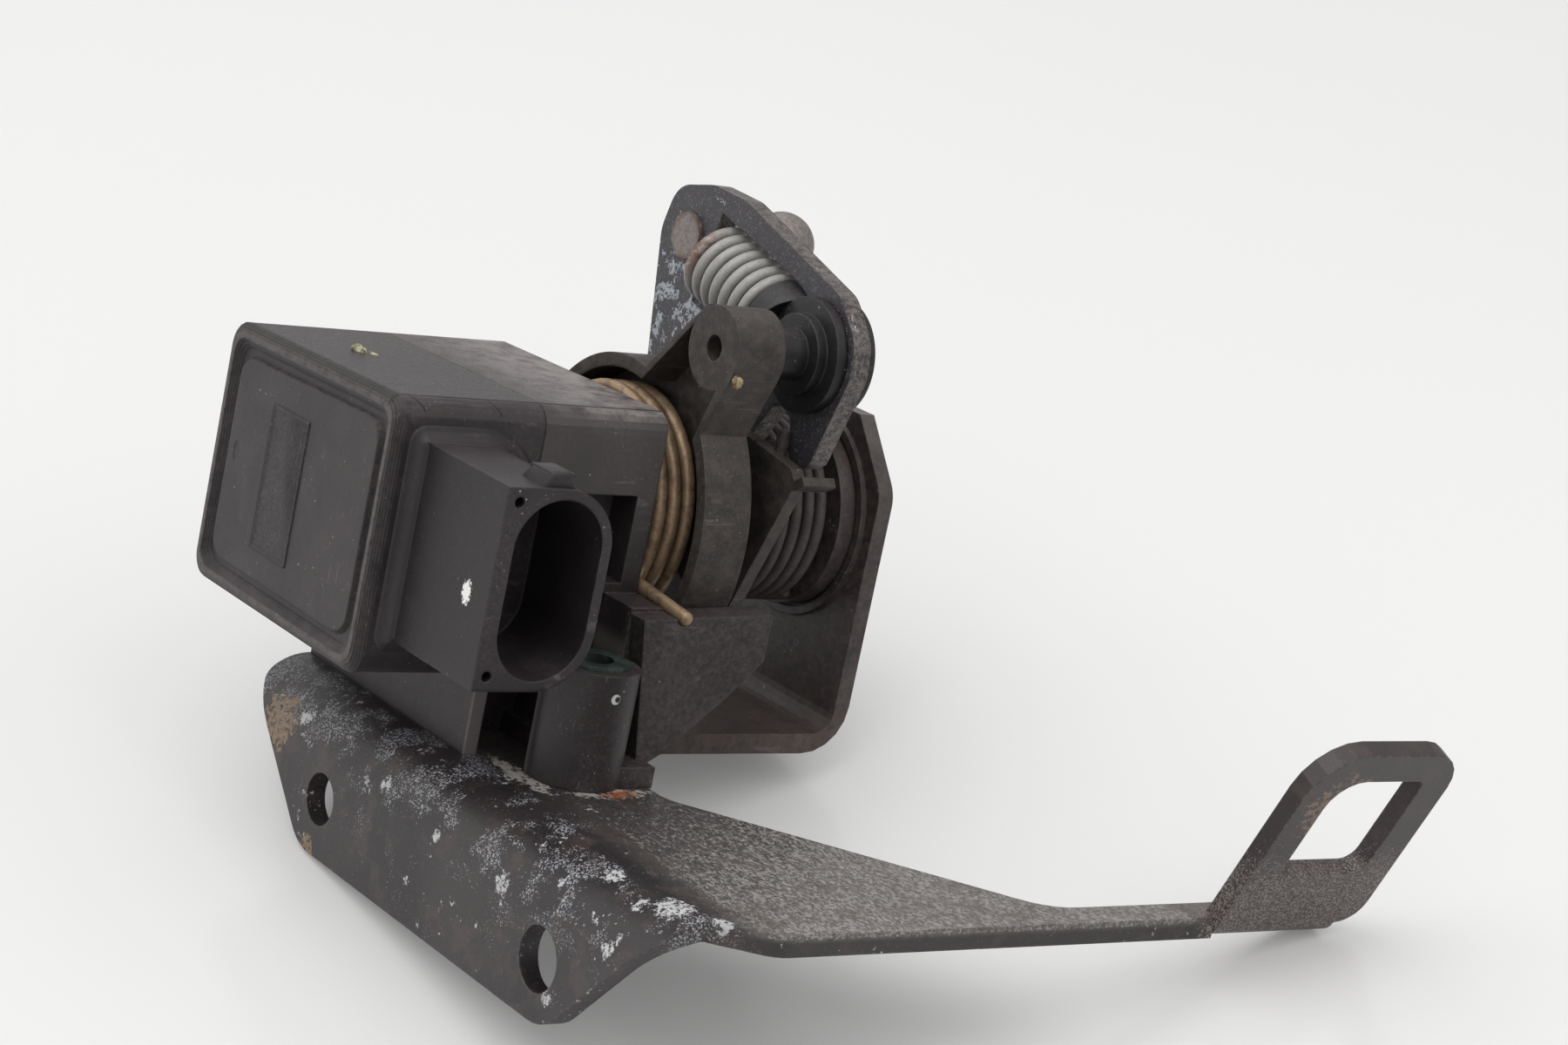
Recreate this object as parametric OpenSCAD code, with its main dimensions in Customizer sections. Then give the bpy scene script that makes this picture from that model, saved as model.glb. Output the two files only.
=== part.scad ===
/* [Bracket] */
// Thickness of the bracket's sheet steel
sheet_t = 3; // [2.6:0.1:3.4]
// Height of the bracket's top face above the mounting hole centres
plate_h = 13.8; // [12.5:0.1:16]
// Outer radius of the bend between flange and plate
bend_r = 9; // [7:0.5:10]
// Distance between the two mounting holes
hole_pitch = 59; // [56:0.5:62]
// Diameter of the mounting hole at the closed end of the bracket
hole_d_left = 7.5; // [6.5:0.1:8]
// Diameter of the mounting hole at the arm end of the bracket
hole_d_right = 8.8; // [8:0.1:9.4]
// Sheet left round each mounting hole, from its centre
land_r = 8.2; // [7.5:0.1:9]
// Lean of the right end of the flange, toward the arm
flare_right = 39.7; // [38:0.1:41]
// Lean of the left end of the flange
flare_left = 43; // [41:0.1:45]
// Length of the plate behind the bend, under the sensor
seat_depth = 30.5; // [29:0.5:33]
// Distance from the middle of the holes to the arm's outer edge
arm_reach = 57.5; // [56:0.5:60]
// Width of the narrow arm
arm_w = 5.4; // [5:0.1:7]
// Distance from the mounting face to the far end of the arm
arm_end = 116; // [115:0.5:117]

/* [Cable tab] */
// Upward bend of the tab from the arm
tab_deg = 66; // [64:0.5:68]
// Width of the tab along the arm
tab_w = 26.4; // [25.6:0.2:27]
// Height of the tab along its slope
tab_h = 32; // [31:0.2:33]
// Radius of the tab's corners
tab_r = 8; // [5:0.5:9]
// Width of the rectangular window in the tab
window_w = 16.1; // [15.5:0.1:16.8]
// Height of the rectangular window in the tab
window_h = 17.6; // [17:0.1:18.2]
// Distance from the bend to the window
window_up = 9.7; // [9.2:0.1:10.2]
// Distance from the window to the free side of the tab
window_side = 5.2; // [4.8:0.1:5.8]

/* [Housing] */
// Distance from the middle of the mounting holes to the shaft, along the flange
axis_x = -27.1; // [-28:0.1:-26]
// Height of the shaft above the bracket's top face
axis_h = 32.4; // [31.5:0.1:34]
// Distance from the shaft to the housing side that carries the plug socket
side_near = 18; // [17.5:0.1:19]
// Distance from the shaft to the other housing side
side_far = 29.9; // [28:0.1:31]
// Distance from the shaft down to the underside of the cover
cover_drop = 21.5; // [21:0.1:23]
// Distance from the shaft up to the top of the housing
cover_rise = 17; // [16.4:0.1:17.4]
// Fall of the top from the socket side to the other side
top_fall = 1.1; // [0:0.1:1.5]
// Overhang of the cover in front of the mounting face
cover_front = 11.4; // [10:0.1:13]
// Distance from the mounting face back to the joint between cover and base
joint_y = 12; // [11:0.1:13]
// Distance from the mounting face to the back of the closed housing
housing_y = 32; // [31:0.1:33]
// Wall thickness of the cover
wall = 2.2; // [1.8:0.1:2.6]
// Radius of the housing's long edges
edge_r = 3.2; // [2:0.1:4]

/* [Plug socket] */
// Distance from the housing side to the mouth of the socket
socket_len = 22.4; // [20:0.1:24]
// Depth of the socket
socket_depth = 16; // [14:0.5:17]
// Height of the socket opening
socket_h = 24.6; // [23:0.1:25]
// Width of the socket opening
socket_w = 13.6; // [12.5:0.1:14]
// Wall round the socket
socket_wall = 1.4; // [1.1:0.1:1.6]
// Distance from the mounting face to the middle of the socket
socket_y = 2.2; // [1.8:0.1:2.6]
// Drop of the socket's middle below the shaft
socket_drop = 2; // [1.5:0.1:2.5]
// Spacing of the contact blades up the socket
blade_pitch = 7; // [6:0.1:7.5]
// Spacing of the two columns of contact blades
blade_gap = 5; // [4.8:0.1:5.6]
// Thickness of a contact blade
blade_t = 0.8; // [0.6:0.1:1]
// Width of a contact blade
blade_w = 1.6; // [1.2:0.1:2]

/* [Base frame] */
// Distance from the mounting face to the front of the foot
foot_y = 8.7; // [8.7:0.1:10]
// Distance from the mounting face to the back of the rear plate
rear_y = 73.8; // [73.2:0.1:75]
// Thickness of the rear plate
rear_t = 2.6; // [2.4:0.1:3]
// Outer radius of the corner between floor and rear plate
tray_r = 7.2; // [5:0.2:8]
// Thickness of the floor between housing and rear plate
floor_t = 3; // [2.6:0.1:3.4]
// Height of the spring block above the bracket
block_h = 23; // [22:0.1:23.4]
// Thickness of the spring block
block_t = 4.6; // [4:0.1:4.8]
// Radius of the fixing boss
boss_r = 6.6; // [6.2:0.1:7]
// Height of the fixing boss
boss_h = 16.6; // [15:0.1:17.5]

/* [Shaft and springs] */
// Diameter of the shaft
shaft_d = 7; // [6.4:0.1:7.6]
// Radial clearance of every running fit
run_clear = 0.05; // [0.03:0.01:0.08]
// Wall of the plain bearings
bush_wall = 1.5; // [1.2:0.1:2]
// Mean radius of the bronze coloured front spring
front_coil_r = 16.2; // [15.6:0.1:16.4]
// Wire diameter of the front spring
front_wire = 2; // [1.8:0.1:2.1]
// Mean radius of the dark rear spring
rear_coil_r = 13; // [12.4:0.1:13.4]
// Wire diameter of the rear spring
rear_wire = 1.8; // [1.5:0.1:2]
// Mean radius of the zinc plated link spring
link_coil_r = 5.4; // [5:0.1:5.6]
// Wire diameter of the link spring
link_wire = 1.8; // [1.4:0.1:1.9]

/* [Levers] */
// Outer radius of the moulded lever's stop rim
rim_r = 25; // [24.4:0.1:25.1]
// Outer radius of the moulded lever's drum
drum_r = 21; // [20.4:0.1:21.6]
// Wall thickness of the moulded lever
lever_wall = 2; // [1.6:0.1:2.4]
// Distance from the mounting face to the front of the moulded lever
lever_y = 35.9; // [35.6:0.1:36.4]
// Depth of the moulded lever at its arm
rim_w = 7.9; // [7.4:0.1:8.2]
// Distance from the shaft to the link pin
link_r = 33.2; // [32.6:0.1:33.8]
// Direction of the link pin from the shaft at rest
link_deg = 54.9; // [53:0.5:57]
// Radius of the moulded lever's pin boss
pin_boss_r = 6; // [5.6:0.1:6.4]
// Diameter of the link pin
pin_d = 3.6; // [3.2:0.1:4]
// Thickness of the steel pickup lever
pickup_t = 3; // [2.6:0.1:3.2]
// Distance from the mounting face to the front of the pickup lever
pickup_y = 53; // [52.8:0.1:53.4]
// Turn of the pickup lever against the link spring
override_deg = 3; // [2:0.5:3.5]
// Diameter of the ball on the stud
ball_d = 10; // [8:0.1:11]

/* [Hidden] */
$fn = 64;

axis_z = plate_h + axis_h;

near_x = axis_x + side_near;
far_x = axis_x - side_far;
under_z = axis_z - cover_drop;
foot_x = far_x + 3.5;
block_x = near_x + 10.5;
block_y = 26.7;
recess_d = 11;
top_z = axis_z + cover_rise;

// Where the slanted ends of the flange start and where they reach the plate
land_x = hole_pitch / 2 + land_r / tan(45 + flare_right / 2);
end_x = land_x + (plate_h + land_r) * tan(flare_right);
far_end_x = -land_x - (plate_h + land_r) * tan(flare_left);
tab_x = arm_reach - 2.1;
tab_low_r = 4;

boss_x = near_x + 9;
boss_y = 20.7;
rear_boss_x = far_x + 9;
sleeve_d = 8.4;
sleeve_bore = 5.4;
sleeve_lip = 1;

bush_r = shaft_d / 2 + bush_wall;
seal_t = 2.4;
seal_r = bush_r + 1.6;
spool_r = rear_coil_r + 1.3;
spool_t = 3.3;
ring_r = spool_r + 1.7;
pivot_r = shaft_d / 2 + 2.6;

web_y = lever_y + rim_w;
tail_y = web_y + 5.6;
pickup_back = pickup_y + pickup_t;
pivot_end = pickup_back + 1;
link_x = link_r * cos(link_deg);
link_z = link_r * sin(link_deg);
side_gap = 0.3;
neck_r = 5;
flange_r = 8.2;

link_dir = 166.2;
link_start = flange_r + 3;
link_end = 30.2;
pocket_half = link_coil_r + link_wire / 2 + 0.9;
stud_x = -15.8;
stud_z = 36.3;
stud_r = 2.5;

socket_z = axis_z - socket_drop;
mouth_x = near_x + socket_len;
blade_end = mouth_x - socket_depth + 6;
blade_start = near_x - 5.4;
board_y = socket_y;
board_t = 1.6;

// Leg of the front spring, from the coil to its tip in the spring block
leg_y = housing_y + side_gap + front_wire / 2;
leg_top = [near_x - 1.3, leg_y, axis_z - 7.9];
leg_tip = [block_x + 0.3, leg_y, plate_h + block_h + 0.5];

function unit(v) = v / norm(v);
function xy(p) = [p[0], p[1]];
function polar(r, a) = [r * cos(a), r * sin(a)];

// One corner of an outline, rounded to radius r
function corner(a, q, b, r, n) =
    r == 0 ? [q] :
    let (u = unit(a - q), v = unit(b - q), half = acos(u * v) / 2,
         c = q + unit(u + v) * r / sin(half),
         s = q + u * r / tan(half) - c, e = q + v * r / tan(half) - c,
         turn = 180 - 2 * half)
    [for (i = [0:n]) c + (sin(turn * (1 - i / n)) * s + sin(turn * i / n) * e) / sin(turn)];

// Outline from corners given as [x, y, radius]
function rounded(p, n = 5) =
    [for (i = [0:len(p) - 1])
        each corner(xy(p[(i + len(p) - 1) % len(p)]), xy(p[i]), xy(p[(i + 1) % len(p)]),
                    len(p[i]) > 2 ? p[i][2] : 0, n)];

// Ring of k points round a wire's centre line at p, square to t, with ref fixing the start
function wire_ring(p, t, ref, r, k) =
    let (b = unit(ref - t * (ref * t)), c = cross(t, b))
    [for (j = [0:k - 1]) p + r * (cos(360 * j / k) * b + sin(360 * j / k) * c)];

// Direction of a path at point i
function heading(path, i) = unit(path[min(i + 1, len(path) - 1)] - path[max(i - 1, 0)]);

// Round wire of radius r along a path
module wire(path, r, ref, k = 8) {
    n = len(path);
    points = [for (i = [0:n - 1]) each wire_ring(path[i], heading(path, i), ref, r, k)];
    sides = [for (i = [0:n - 2], j = [0:k - 1])
        [i * k + j, i * k + (j + 1) % k, (i + 1) * k + (j + 1) % k, (i + 1) * k + j]];
    ends = [[for (j = [k - 1:-1:0]) j], [for (j = [0:k - 1]) (n - 1) * k + j]];
    polyhedron(points, concat(sides, ends));
}

// Draws a flat XZ shape as a slab from y0, len deep
module along_y(y0, len) {
    translate([0, y0 + len, 0]) rotate([90, 0, 0]) linear_extrude(len) children();
}

// Draws a flat YZ shape as a slab from x0, len deep
module along_x(x0, len) {
    translate([x0, 0, 0]) rotate([90, 0, 90]) linear_extrude(len) children();
}

// Places a flat XZ slab relative to the shaft
module at_shaft(y0, len) {
    translate([axis_x, 0, axis_z]) along_y(y0, len) children();
}

// Cylinder along the shaft direction, at x, z from the shaft
module rod(r, y0, len, x = 0, z = 0) {
    translate([axis_x + x, y0, axis_z + z]) rotate([-90, 0, 0]) cylinder(r = r, h = len);
}

// Tube along the shaft direction
module tube(r_out, r_in, y0, len, x = 0, z = 0) {
    difference() {
        rod(r_out, y0, len, x, z);
        rod(r_in, y0 - 1, len + 2, x, z);
    }
}

// Slice of a disc between two angles less than 180 degrees apart
module slice(r, a0, a1) {
    intersection() {
        circle(r);
        polygon([[0, 0], polar(3 * r, a0), polar(3 * r, a0 + (a1 - a0) / 3),
                 polar(3 * r, a0 + 2 * (a1 - a0) / 3), polar(3 * r, a1)]);
    }
}

// Section of the flange and its bend, across the bracket
module bend_section() {
    translate([0, -2 * land_r]) square([sheet_t, 2 * land_r + plate_h - bend_r]);
    translate([bend_r - 0.5, plate_h - sheet_t]) square([1, sheet_t]);
    intersection() {
        translate([bend_r, plate_h - bend_r]) difference() {
            circle(bend_r);
            circle(bend_r - sheet_t);
        }
        translate([0, plate_h - bend_r]) square(bend_r);
    }
}

// Front view of the flange
module flange_shape() {
    polygon(rounded([[-land_x, -land_r, land_r], [land_x, -land_r, land_r],
                     [end_x, plate_h - sheet_t, 3], [end_x, plate_h, 0],
                     [far_end_x, plate_h, 0], [far_end_x, plate_h - sheet_t, 3]]));
}

// Top view of the plate and its arm
module plate_shape() {
    tab_y = arm_end - tab_w;
    polygon(rounded([[far_end_x, bend_r, 0], [end_x, bend_r, 0],
                     [arm_reach, bend_r + 6.8, 5], [arm_reach, tab_y, 0],
                     [tab_x, tab_y, 0], [tab_x, arm_end - tab_low_r, 0],
                     [arm_reach - arm_w, arm_end - tab_low_r, 1], [arm_reach - arm_w, 64.6, 9],
                     [9, seat_depth, 6], [far_end_x, seat_depth, 6]]));
}

// Tab at the end of the arm, with its window
module cable_tab() {
    tab_y = arm_end - tab_w;
    translate([tab_x, 0, plate_h]) {
        along_y(tab_y, tab_w - tab_low_r)
            polygon(rounded([[-2, -sheet_t, 0], [sheet_t * tan(tab_deg / 2), -sheet_t, sheet_t],
                             polar(sheet_t, tab_deg - 90) + polar(3, tab_deg),
                             polar(3, tab_deg), [0, 0, 0], [-2, 0, 0]], 8));
        rotate([0, -tab_deg, 0]) translate([0, 0, -sheet_t]) linear_extrude(sheet_t) difference() {
            polygon(rounded([[0, tab_y, 0], [tab_h, tab_y, tab_r],
                             [tab_h, arm_end, tab_r - 2], [0, arm_end, tab_low_r]]));
            translate([window_up, arm_end - window_side - window_w])
                polygon(rounded([[0, 0, 1.2], [window_h, 0, 5],
                                 [window_h, window_w, 1.2], [0, window_w, 2.4]]));
        }
    }
}

// Upright cylinder on the bracket
module post(x, y, r, z0, h) {
    translate([x, y, z0]) cylinder(r = r, h = h);
}

module bracket() color([0.16, 0.16, 0.17]) {
    difference() {
        union() {
            intersection() {
                along_x(far_end_x, end_x - far_end_x) bend_section();
                along_y(0, bend_r + 0.4) flange_shape();
            }
            translate([0, 0, plate_h - sheet_t]) linear_extrude(sheet_t) plate_shape();
            cable_tab();
        }
        for (x = [boss_x, rear_boss_x])
            post(x, boss_y, sleeve_d / 2, plate_h - sheet_t - 1, sheet_t + 2);
        translate([-hole_pitch / 2, -1, 0]) rotate([-90, 0, 0])
            cylinder(d = hole_d_left, h = sheet_t + 2);
        translate([hole_pitch / 2, -1, 0]) rotate([-90, 0, 0])
            cylinder(d = hole_d_right, h = sheet_t + 2);
    }
}

// Front view of the housing from height z0 up, less an inset all round
module housing_shape(z0, inset = 0, r = edge_r, low_r = 0) {
    polygon(rounded([[far_x + inset, z0 + inset, low_r], [near_x - inset, z0 + inset, low_r],
                     [near_x - inset, top_z - inset, r],
                     [far_x + inset, top_z - top_fall - inset, r]]));
}

// Side view of the floor and rear plate
module tray_section() {
    front = housing_y - 1;
    back = rear_y - rear_t;
    polygon(rounded([[front, plate_h, 0], [rear_y, plate_h, tray_r], [rear_y, top_z, 0],
                     [back, top_z, 0], [back, plate_h + floor_t, 3], [front, plate_h + floor_t, 0]]));
}

// Front view of the rear plate
module rear_shape() {
    translate([axis_x, axis_z])
        polygon(rounded([[-side_near, -axis_h, 0], [side_near, -axis_h, 0], [side_near, 7.2, 5],
                         [3.6, 24, 5], [-3.6, 24, 5], [-side_near, 7.2, 5]]));
}

// Cylinder from p to q
module bar(p, q, r) {
    d = q - p;
    translate(p) rotate([0, acos(d[2] / norm(d)), atan2(d[1], d[0])]) cylinder(r = r, h = norm(d));
}

// Groove in the spring block for the front spring's leg
module leg_groove() {
    bar(leg_top, leg_tip + (leg_tip - leg_top) * 0.4, front_wire / 2 + 0.15);
}

// Spring block outside the lever's rim, held by its foot and a shelf to the housing
module spring_block() {
    along_x(block_x - block_t, block_t) translate([0, plate_h])
        polygon([[block_y, block_h], [block_y + 21.5, block_h + 1.2], [block_y + 21.5, 17.4],
                 [block_y + 16.2, 11.9], [block_y + 7.5, 4], [block_y + 4.2, 2], [block_y + 3.2, 2]]);
    translate([near_x - recess_d - 1, block_y, plate_h + block_h - 1.9])
        cube([block_x - block_t - near_x + recess_d + 2, housing_y - block_y, 2.6]);
    // Wall behind the boss, under the shelf
    translate([near_x - recess_d - 1, block_y, plate_h])
        cube([block_x - block_t - near_x + recess_d + 2, 2.4, block_h - 1]);
}

module base_frame() color([0.19, 0.18, 0.18]) {
    difference() {
        union() {
            along_y(joint_y, housing_y - joint_y) housing_shape(plate_h);
            along_y(foot_y, joint_y - foot_y) translate([foot_x, plate_h])
                square([near_x - foot_x, under_z - plate_h - 0.1]);
            intersection() {
                along_x(axis_x - side_near, 2 * side_near) tray_section();
                along_y(housing_y - 1, rear_y - housing_y + 1) rear_shape();
            }
            rod(spool_r, rear_y - rear_t - spool_t, spool_t + 0.5);
            rod(spool_r - 4, pivot_end + 1.6, rear_y - pivot_end - 2);
            tube(ring_r, ring_r - 1.3, rear_y - rear_t - 0.8, 1.3);
        }
        // Core pocket in the near side, above the ledge
        translate([near_x - 6, housing_y - 14, under_z + 14.2]) cube([7, 11, 12.6]);
        // Open recess round the fixing boss, below the ledge
        translate([near_x - recess_d, foot_y + 2, plate_h - 1])
            cube([recess_d + 1, housing_y - foot_y - 1, under_z + 12.8 - plate_h + 1]);
        // Core pockets in the far side
        for (y = [joint_y + 2, joint_y + 11])
            translate([far_x - 1, y, under_z + 3]) cube([8, 7, 27]);
        // Shaft, bearing and seal bores
        rod(bush_r, joint_y - 1, housing_y - joint_y + 2);
        rod(seal_r, housing_y - seal_t, seal_t + 1);
        rod(bush_r, pivot_end, rear_y - pivot_end + 1);
        // Far fixing hole
        post(rear_boss_x, boss_y, sleeve_d / 2, plate_h - 1, boss_h + 1);
        // Foot set in at the far side
        translate([far_x - 1, foot_y, plate_h - 1]) cube([foot_x - far_x + 1, 40, under_z - plate_h + 1]);
    }
    difference() {
        union() {
            spring_block();
            post(boss_x, boss_y, boss_r, plate_h, boss_h);
            // Webs and foot that carry the boss
            translate([near_x - recess_d - 1, boss_y + 2, plate_h]) cube([recess_d + 10, 3, boss_h - 1]);
            translate([near_x - recess_d - 1, boss_y + 0.4, plate_h]) cube([recess_d + 14.8, 9.8, 3]);
        }
        post(boss_x, boss_y, sleeve_d / 2, plate_h - 1, boss_h + 2);
        leg_groove();
    }
}

// Outline of the plug socket seen from its mouth, grown by g
module socket_shape(g = 0) {
    r = socket_w / 2 + g;
    translate([socket_y, socket_z]) {
        for (s = [-1, 1]) translate([0, s * (socket_h / 2 + g - r)]) circle(r);
        square([2 * r, socket_h + 2 * g - 2 * r], center = true);
    }
}

// Flat front half of the plug socket
module socket_front() {
    half = socket_w / 2 + socket_wall + 0.9;
    h = socket_h / 2 + socket_wall;
    translate([socket_y - half, socket_z - h]) square([half, 2 * h]);
}

module sensor_cover() color([0.2, 0.2, 0.2]) {
    half = socket_w / 2 + socket_wall + 0.9;
    difference() {
        union() {
            along_y(-cover_front + 1.6, joint_y + cover_front - 1.7)
                housing_shape(under_z, 0, edge_r, edge_r);
            // End wall with its rolled edge
            for (a = [15:15:75])
                along_y(-cover_front + 1.6 * (1 - sin(a)), 1)
                    housing_shape(under_z, 1.6 * (1 - cos(a)), edge_r - 0.4, edge_r - 0.4);
            along_x(near_x - 1, socket_len + 1) {
                socket_shape(socket_wall);
                socket_front();
            }
            // Key on top of the socket
            along_x(mouth_x - 6, 5) translate([socket_y - 2.6, socket_z + socket_h / 2]) square([3.6, 3.3]);
        }
        // Sunk panel in the end wall, with a dished channel round it
        along_y(-cover_front - 1, 1.4) housing_shape(under_z, 2, edge_r - 0.6, edge_r - 0.6);
        for (i = [0:2]) difference() {
            along_y(-cover_front - 1, 1.65 + 0.25 * i)
                housing_shape(under_z, 2.3 + 0.35 * i, edge_r - 0.8, edge_r - 0.8);
            along_y(-cover_front - 2, 5) housing_shape(under_z, 4.3 - 0.1 * i, edge_r, edge_r);
        }
        // Inner room, wider behind the seal ledge
        along_y(-cover_front + 2 * wall, joint_y + cover_front) housing_shape(under_z, wall + 1.6, 1, 1);
        along_y(joint_y - 1.6, 3) housing_shape(under_z, wall, 1, 1);
        // Socket room, with a solid wall behind it for the contact blades
        along_x(mouth_x - socket_depth, socket_depth + 1) socket_shape();
        for (i = [0:5]) blade_slot(i);
        // Blind holes in the corners of the mouth
        for (s = [-1, 1])
            translate([mouth_x - 4, socket_y - half + 1.9, socket_z + s * (socket_h / 2 - 0.6)])
                rotate([0, 90, 0]) cylinder(d = 1.5, h = 5, $fn = 24);
    }
}

// Column and row of contact blade i
function blade_side(i) = i % 2 == 0 ? -1 : 1;
function blade_y(i) = socket_y + blade_side(i) * blade_gap / 2;
function blade_z(i) = socket_z + (floor(i / 2) - 1) * blade_pitch;

module blade_slot(i) {
    translate([blade_start - 1, blade_y(i) - blade_t / 2, blade_z(i) - blade_w / 2])
        cube([mouth_x - socket_depth - blade_start + 2, blade_t, blade_w]);
}

// Contact blade with its tail bent to the track plate
module terminal(i) color([0.72, 0.62, 0.4]) {
    y = blade_y(i) - blade_t / 2;
    foot = blade_gap / 2 - board_t / 2 + blade_t / 2;
    tail_x = near_x - wall - 1.6 - 4;
    translate([tail_x, y, blade_z(i) - blade_w / 2]) cube([blade_end - tail_x, blade_t, blade_w]);
    translate([tail_x, blade_side(i) < 0 ? y : y + blade_t - foot, blade_z(i) - blade_w / 2])
        cube([blade_t, foot, blade_w]);
}

module cover_seal() color([0.1, 0.1, 0.1]) {
    along_y(joint_y - 1.6, 1.5) difference() {
        housing_shape(under_z, wall, 1, 1);
        housing_shape(under_z, wall + 1.6, 1, 1);
    }
}

module track_plate() color([0.55, 0.5, 0.42]) {
    inner = wall + 1.6;
    along_y(board_y - board_t / 2, board_t) difference() {
        translate([far_x + inner, under_z + inner])
            square([near_x - far_x - 2 * inner, top_z - top_fall - under_z - 2 * inner]);
        translate([axis_x, axis_z]) circle(shaft_d / 2 + 1);
    }
}

module rotor() color([0.75, 0.73, 0.66]) {
    y0 = board_y + board_t / 2 + 2;
    tube(8.6, shaft_d / 2, y0, 4);
}

module wiper_contacts() color([0.8, 0.68, 0.36]) {
    y0 = board_y + board_t / 2 + 0.3;
    for (a = [60, 180, 300])
        translate([axis_x, y0, axis_z]) rotate([0, a, 0]) translate([5.4, 0, -1.4]) cube([2.6, 1.7, 2.8]);
}

module front_bearing() color([0.6, 0.5, 0.3]) {
    tube(bush_r, shaft_d / 2 + run_clear, joint_y, housing_y - seal_t - joint_y);
}

module rear_bearing() color([0.6, 0.5, 0.3]) {
    tube(bush_r, shaft_d / 2 + run_clear, pivot_end + 1.6, rear_y - pivot_end - 1.6);
}

module shaft_seal() color([0.08, 0.08, 0.08]) {
    tube(seal_r, shaft_d / 2 + run_clear, housing_y - seal_t, seal_t);
}

// Hollow rivet that clamps a boss of the base to the bracket
module sleeve(x, head = true) {
    low = plate_h - sheet_t - sleeve_lip;
    high = plate_h + boss_h;
    translate([x, boss_y, 0]) difference() {
        union() {
            translate([0, 0, low]) cylinder(d = sleeve_d + 2, h = sleeve_lip);
            translate([0, 0, low]) cylinder(d = sleeve_d, h = high - low);
            if (head) translate([0, 0, high]) cylinder(d = sleeve_d + 1.6, h = sleeve_lip * 0.6);
        }
        translate([0, 0, low - 1]) cylinder(d = sleeve_bore, h = high - low + sleeve_lip + 2);
    }
}

module front_sleeve() color([0.3, 0.4, 0.35]) sleeve(boss_x);
module rear_sleeve() color([0.3, 0.4, 0.35]) sleeve(rear_boss_x, false);

module shaft() color([0.6, 0.6, 0.58]) {
    y0 = board_y - board_t / 2 - 1;
    difference() {
        rod(shaft_d / 2, y0, rear_y + 5 - y0);
        tube(shaft_d / 2 + 1, shaft_d / 2 - 0.7, rear_y + 1.3, 1);
    }
}

module thrust_washer() color([0.7, 0.68, 0.62]) {
    tube(shaft_d / 2 + 3.5, shaft_d / 2, rear_y + 0.2, 1.1);
}

module retaining_clip() color([0.25, 0.25, 0.25]) {
    difference() {
        tube(shaft_d / 2 + 2.2, shaft_d / 2 - 0.7, rear_y + 1.3, 1);
        at_shaft(rear_y + 1, 2) translate([-1.6, -9]) square([3.2, 9]);
    }
}

// Front view of the moulded lever, with every wall drawn in by g
module lever_shape(g = 0) {
    rim_low = -28;
    rim_high = 37;
    drum_high = 79;
    drum_low = 222;
    slice(rim_r - g, rim_low - g, rim_high + 1);
    slice(drum_r - g, drum_high - 12, (drum_high + drum_low) / 2);
    slice(drum_r - g, (drum_high + drum_low) / 2 - 1, drum_low + g);
    polygon([[0, 0], polar(rim_r - g, rim_high), [link_x + 5.3 - g, link_z - 3],
             [link_x, link_z], polar(link_r + 3 - g, link_deg + 9.4), polar(drum_r - g, drum_high)]);
}

// Tail plate behind the drum, whose saddle carries the pickup lever
module tail_shape() {
    circle(15);
    polygon(rounded([[0, 0, 0], [3, -15.5, 0], [14.6, -15, 1.5], [25.8, 10.2, 1.5],
                     [24, 12, 1], [10, 14, 0]]));
}

module throttle_lever() color([0.2, 0.19, 0.19]) {
    hub_r = 9.5;
    difference() {
        union() {
            difference() {
                at_shaft(lever_y, rim_w) lever_shape();
                at_shaft(lever_y - 1, rim_w - lever_wall + 1) lever_shape(lever_wall);
            }
            rod(hub_r, lever_y, tail_y - lever_y + 0.5);
            rod(pin_boss_r, lever_y, rim_w, link_x, link_z);
            at_shaft(tail_y, lever_wall) tail_shape();
            // Sleeve that the pickup lever turns on
            rod(pivot_r, tail_y, pivot_end - tail_y);
            // Saddle under the pickup lever's lower lobe
            at_shaft(tail_y, pickup_back - 1 - tail_y) translate([21.8, 18.2]) difference() {
                slice(9.8, 213, 308);
                circle(8.4);
            }
            // Stop post beside the lobe
            translate([axis_x + 18.2, tail_y + lever_wall + 0.2, axis_z + 9.6]) cylinder(r = 1, h = 6.4);
        }
        rod(shaft_d / 2, lever_y - 1, pivot_end - lever_y + 2);
        rod(pin_d / 2, lever_y - 1, rim_w + 2, link_x, link_z);
    }
}

module link_pin() color([0.4, 0.39, 0.38]) {
    rod(pin_d / 2, lever_y + 4, pickup_back + side_gap + 2.6 - lever_y - 4, link_x, link_z);
}

module slide_bush() color([0.12, 0.12, 0.12]) {
    front = pickup_y - side_gap;
    back = pickup_back + side_gap;
    difference() {
        union() {
            rod(3.6, web_y, front - web_y, link_x, link_z);
            rod(5.8, front - 3.2, 3.2, link_x, link_z);
            rod(flange_r, front - 1.6, 1.6, link_x, link_z);
            rod(neck_r, front, back - front, link_x, link_z);
            rod(flange_r, back, 1.4, link_x, link_z);
        }
        rod(pin_d / 2, web_y - 1, back - web_y + 5, link_x, link_z);
    }
}

// Frame on the link spring's line, with X pointing away from the link pin
module on_link() {
    translate([axis_x + link_x, pickup_y + pickup_t / 2, axis_z + link_z])
        rotate([0, -link_dir, 0]) children();
}

module spring_cup() color([0.12, 0.12, 0.12]) {
    inner_r = link_coil_r - link_wire / 2 - 0.2;
    difference() {
        on_link() rotate([0, 90, 0]) {
            translate([0, 0, 4]) cylinder(r = link_coil_r + link_wire / 2, h = link_start - 4);
            cylinder(r = inner_r, h = link_start + 3);
        }
        rod(flange_r, pickup_y - 12, 24, link_x, link_z);
    }
}

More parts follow.
